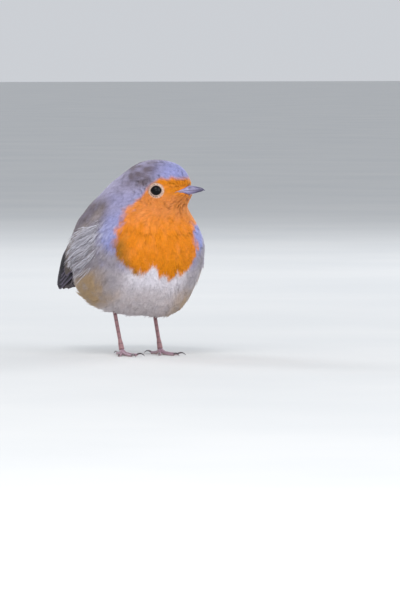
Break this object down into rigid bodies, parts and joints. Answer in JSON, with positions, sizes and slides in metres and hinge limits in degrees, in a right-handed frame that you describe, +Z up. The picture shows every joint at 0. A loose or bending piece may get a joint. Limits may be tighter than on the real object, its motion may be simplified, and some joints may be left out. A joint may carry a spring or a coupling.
{
  "type": "robin",
  "caption": "Life-size still model of a European robin standing at rest, plumage fluffed into a ball, head turned to its left, on slender legs with spread toes.",
  "frame": {"origin": "on the floor under the middle of the bird's bounding box", "axes": "+X to the bird's left, +Y towards its tail, +Z up; the bird's body faces -Y"},
  "size_m": [0.0564, 0.1014, 0.0889],
  "materials": {
    "back": "olive-brown feathers of crown, back and rump",
    "breast": "orange feathers of face, throat and breast",
    "belly": "off-white feathers of belly and flanks",
    "wing": "brown flight feathers with paler edges",
    "tail": "dark brown tail feathers",
    "bill": "smooth dark horn",
    "eye": "wet black-brown",
    "leg": "scaled pinkish-brown skin",
    "claw": "smooth dark horn"
  },
  "bodies": {
    "root": {"head": "back", "neck": "breast", "trunk": "belly", "rump": "back", "tail": "tail", "bill_upper": "bill", "bill_lower": "bill", "eye_left": "eye", "wing_left": "wing", "primaries_left": "wing", "shank_left": "leg", "toe_left_middle": "leg", "claw_left_middle": "claw", "toe_left_inner": "leg", "claw_left_inner": "claw", "toe_left_outer": "leg", "claw_left_outer": "claw", "toe_left_hind": "leg", "claw_left_hind": "claw", "eye_right": "eye", "wing_right": "wing", "primaries_right": "wing", "shank_right": "leg", "toe_right_middle": "leg", "claw_right_middle": "claw", "toe_right_inner": "leg", "claw_right_inner": "claw", "toe_right_outer": "leg", "claw_right_outer": "claw", "toe_right_hind": "leg", "claw_right_hind": "claw"}
  },
  "joints": []
}
